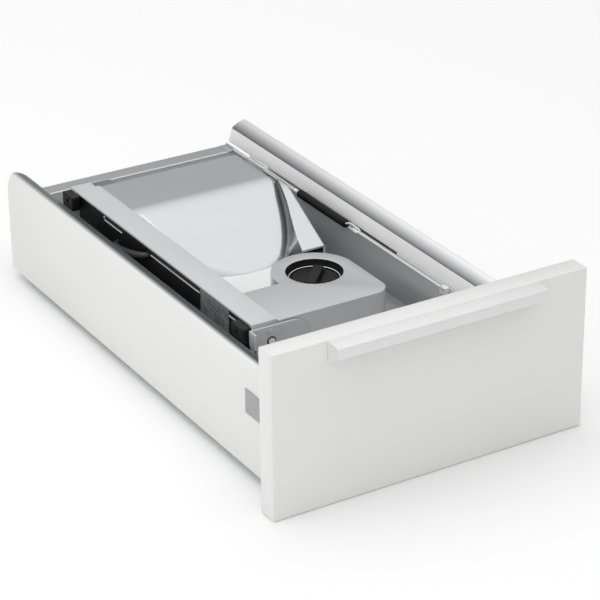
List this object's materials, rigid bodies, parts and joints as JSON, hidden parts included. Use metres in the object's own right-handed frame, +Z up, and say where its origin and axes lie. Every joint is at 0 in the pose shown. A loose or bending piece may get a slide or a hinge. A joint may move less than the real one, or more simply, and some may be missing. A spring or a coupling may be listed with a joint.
{
  "type": "drawer with fold-away food slicer",
  "caption": "Narrow white kitchen drawer on runners holding a silver fold-away food slicer that lies on its side and swings upright for use.",
  "frame": {"origin": "bottom centre of the object's bounding box, on the plane through the bottom edge of the front panel and the underside of the runners", "axes": "+X to the right seen from the front, +Y from the front panel to the rear, +Z up"},
  "size_m": [0.297, 0.537, 0.146],
  "materials": {
    "zinc_steel": "zinc-plated, satin",
    "white_steel": "white powder coat, satin",
    "skin_steel": "grey powder coat, satin",
    "white_board": "white lacquered board, satin",
    "grey_board": "grey laminated board",
    "handle_metal": "brushed anodised",
    "cap_plastic": "light grey",
    "black_plastic": "fine texture",
    "bracket_steel": "brushed",
    "bright_steel": "bright nickel plate",
    "spring_steel": "black spring steel",
    "silver_casting": "silver metallic paint, satin",
    "silver_housing": "silver metallic paint, gloss",
    "adjuster_grey": "grey metallic paint, satin",
    "rubber_black": "matt",
    "label_grey": "printed film",
    "light_trim": "bright",
    "gear_nylon": "natural nylon",
    "motor_steel": "grey paint",
    "blade_steel": "polished",
    "plate_aluminium": "anodised, satin",
    "knob_black": "semi-gloss"
  },
  "bodies": {
    "cabinet_rails": {"cabinet_rail_left": "zinc_steel", "cabinet_rail_right": "zinc_steel"},
    "middle_rails": {"middle_rail_left": "zinc_steel", "middle_rail_right": "zinc_steel"},
    "drawer": {"drawer_rail_left": "zinc_steel", "drawer_rail_right": "zinc_steel", "side_left": "white_steel", "side_right": "white_steel", "inner_skin_left": "skin_steel", "inner_skin_right": "skin_steel", "floor_panel": "grey_board", "rear_panel": "grey_board", "rear_lip": "light_trim", "rear_corners": "black_plastic", "front_panel": "white_board", "handle": "handle_metal", "front_fixings": "zinc_steel", "fixing_screws": "zinc_steel", "side_caps": "cap_plastic", "front_bracket": "bracket_steel", "rear_bracket": "bracket_steel", "fold_bushes": "black_plastic", "bracket_rivets": "bracket_steel", "guide_strip": "light_trim", "balance_spring": "spring_steel", "spring_ends": "bright_steel", "front_rod": "bright_steel", "rear_rod": "bright_steel", "rod_anchor": "bright_steel", "rod_clip": "bright_steel"},
    "slicer": {"base_frame": "silver_casting", "base_cover": "black_plastic", "base_feet": "rubber_black", "rating_plate": "label_grey", "base_trim": "light_trim", "mains_lead": "rubber_black", "lead_gland": "black_plastic", "fold_pins": "bright_steel", "motor_housing": "silver_housing", "housing_chassis": "motor_steel", "gear_motor": "motor_steel", "idler_pin": "bright_steel", "adjuster_housing": "adjuster_grey", "recess_ring": "black_plastic", "table_hinge_pin": "bright_steel"},
    "blade_spindle": {"blade_gear": "gear_nylon", "blade": "blade_steel", "blade_screws": "bright_steel"},
    "idler": {"idler_gear": "gear_nylon"},
    "motor_shaft": {"motor_pinion": "gear_nylon"},
    "knob": {"thickness_knob": "knob_black"},
    "stop": {"stop_plate": "plate_aluminium"},
    "table": {"carriage_table": "plate_aluminium"},
    "carriage": {"food_carriage": "silver_casting"},
    "button": {"switch_button": "black_plastic"},
    "lock": {"lock_plunger": "black_plastic"}
  },
  "joints": [
    {"name": "drawer_slide", "type": "slide", "parent": "cabinet_rails", "child": "drawer", "axis": [0, -1, 0], "range_m": [0, 0.45]},
    {"name": "middle_slide", "type": "slide", "parent": "cabinet_rails", "child": "middle_rails", "axis": [0, -1, 0], "range_m": [0, 0.225]},
    {"name": "slicer_fold", "type": "hinge", "parent": "drawer", "child": "slicer", "pos_m": [-0.0746, 0.0435, 0.0842], "axis": [0, -1, 0], "range_deg": [0, 90]},
    {"name": "blade_spin", "type": "hinge", "parent": "slicer", "child": "blade_spindle", "pos_m": [0.0015, 0.089, 0.057], "axis": [0, 0, 1], "continuous": true},
    {"name": "idler_spin", "type": "hinge", "parent": "slicer", "child": "idler", "pos_m": [0.0015, 0.127, 0.062], "axis": [0, 0, 1], "continuous": true},
    {"name": "motor_spin", "type": "hinge", "parent": "slicer", "child": "motor_shaft", "pos_m": [0.0015, 0.156, 0.062], "axis": [0, 0, 1], "continuous": true},
    {"name": "thickness_turn", "type": "hinge", "parent": "slicer", "child": "knob", "pos_m": [0.0075, -0.056, 0.0935], "axis": [0, 0, 1], "range_deg": [0, 330]},
    {"name": "stop_slide", "type": "slide", "parent": "slicer", "child": "stop", "axis": [0, 0, 1], "range_m": [0, 0.014]},
    {"name": "table_swing", "type": "hinge", "parent": "slicer", "child": "table", "pos_m": [-0.0605, 0.044, 0.027], "axis": [0, 1, 0], "range_deg": [0, 90]},
    {"name": "carriage_slide", "type": "slide", "parent": "table", "child": "carriage", "axis": [0, 1, 0], "range_m": [0, 0.095]},
    {"name": "switch_press", "type": "slide", "parent": "slicer", "child": "button", "axis": [-1, 0, 0], "range_m": [0, 0.002], "stiffness_N_per_m": 400},
    {"name": "lock_push", "type": "slide", "parent": "drawer", "child": "lock", "axis": [0, 1, 0], "range_m": [0, 0.005]}
  ],
  "couplings": [
    {"joint": "middle_slide", "follows": "drawer_slide", "ratio": 0.5},
    {"joint": "idler_spin", "follows": "blade_spin", "ratio": -0.9},
    {"joint": "motor_spin", "follows": "blade_spin", "ratio": 2},
    {"joint": "thickness_turn", "follows": "stop_slide", "rad_per_m": 411.36},
    {"joint": "table_swing", "follows": "slicer_fold", "ratio": 1}
  ]
}
